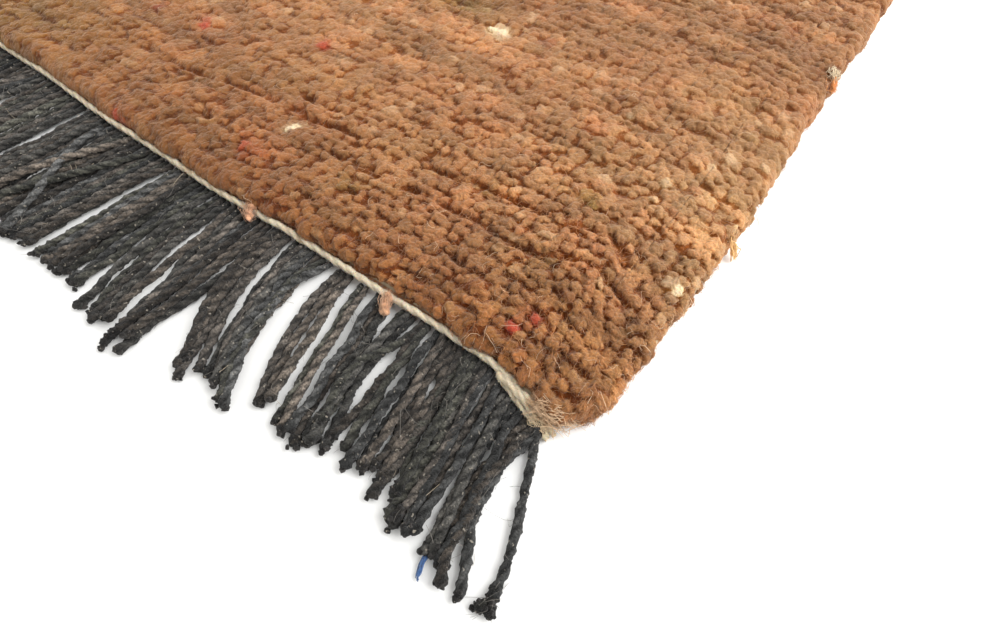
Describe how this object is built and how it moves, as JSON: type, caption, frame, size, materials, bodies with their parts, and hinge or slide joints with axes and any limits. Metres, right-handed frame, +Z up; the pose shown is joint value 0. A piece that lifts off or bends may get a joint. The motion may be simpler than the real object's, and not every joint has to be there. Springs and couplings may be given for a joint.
{
  "type": "nepalese rug",
  "caption": "Flat hand-knotted wool rug in tan and terracotta, with a cream weft cord and a charcoal twisted fringe at each end.",
  "frame": {"origin": "middle of the flat underside, on the floor", "axes": "+X across the rug, +Y along it from one fringe to the other, +Z up out of the pile"},
  "size_m": [0.61, 0.9148, 0.012],
  "materials": {
    "pile_wool": "matt hand-spun wool pile, tan and terracotta with streaks and flecks",
    "weft_cream": "matt undyed wool",
    "warp_charcoal": "matt two-ply charcoal yarn with pale specks"
  },
  "bodies": {
    "root": {"rug_body": "pile_wool", "weft_cord_front": "weft_cream", "weft_cord_back": "weft_cream", "fringe_front": "warp_charcoal", "fringe_back": "warp_charcoal"}
  },
  "joints": []
}
